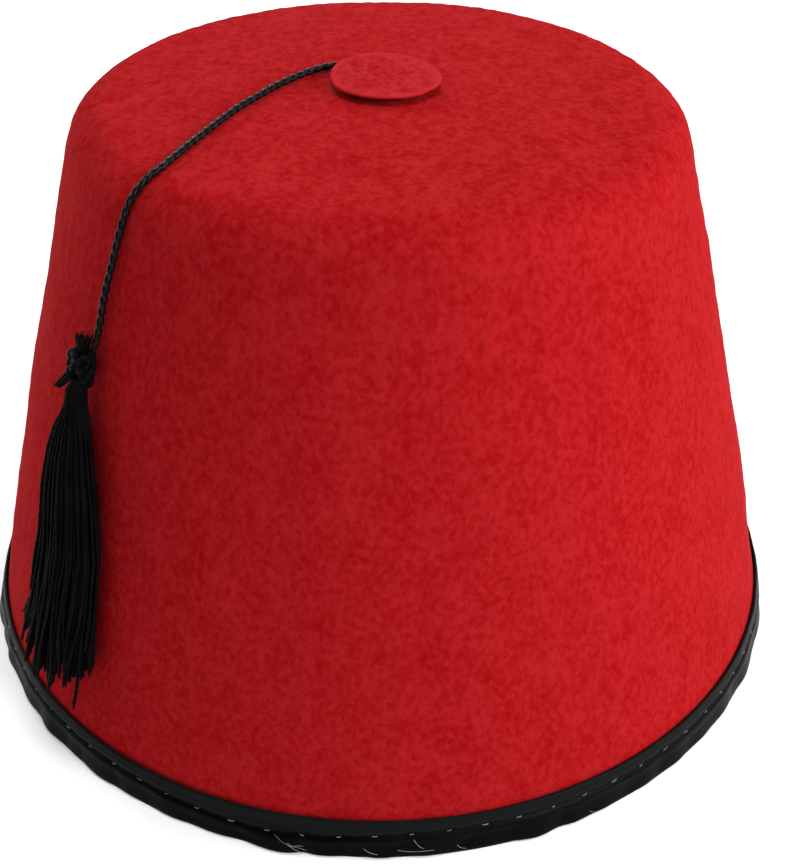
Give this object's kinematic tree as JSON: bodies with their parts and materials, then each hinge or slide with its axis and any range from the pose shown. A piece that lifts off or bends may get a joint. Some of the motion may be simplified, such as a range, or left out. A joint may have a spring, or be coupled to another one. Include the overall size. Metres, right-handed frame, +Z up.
{
  "type": "fez hat with tassel",
  "caption": "Red felt fez, a tapered flat-topped hat open below, with a black bound rim, a small felt disc on top and a black tassel on a thin cord.",
  "frame": {"origin": "middle of the rim, on the surface that the hat stands on", "axes": "+Z up through the top; +Y from the side that the picture shows towards the back; +X to the right in the picture"},
  "size_m": [0.1898, 0.1898, 0.1293],
  "materials": {
    "red_felt": "napped wool-like felt, matte",
    "black_vinyl": "soft sheen, fine leather grain",
    "black_cord": "twisted cord, soft sheen",
    "black_thread": "twisted yarn, matte with faint sheen",
    "stitch_thread": "clear nylon thread"
  },
  "bodies": {
    "root": {"felt_crown": "red_felt", "top_disc": "red_felt", "rim_binding": "black_vinyl", "tassel_cord": "black_cord", "cord_knot": "black_cord", "tassel": "black_thread"}
  },
  "joints": []
}
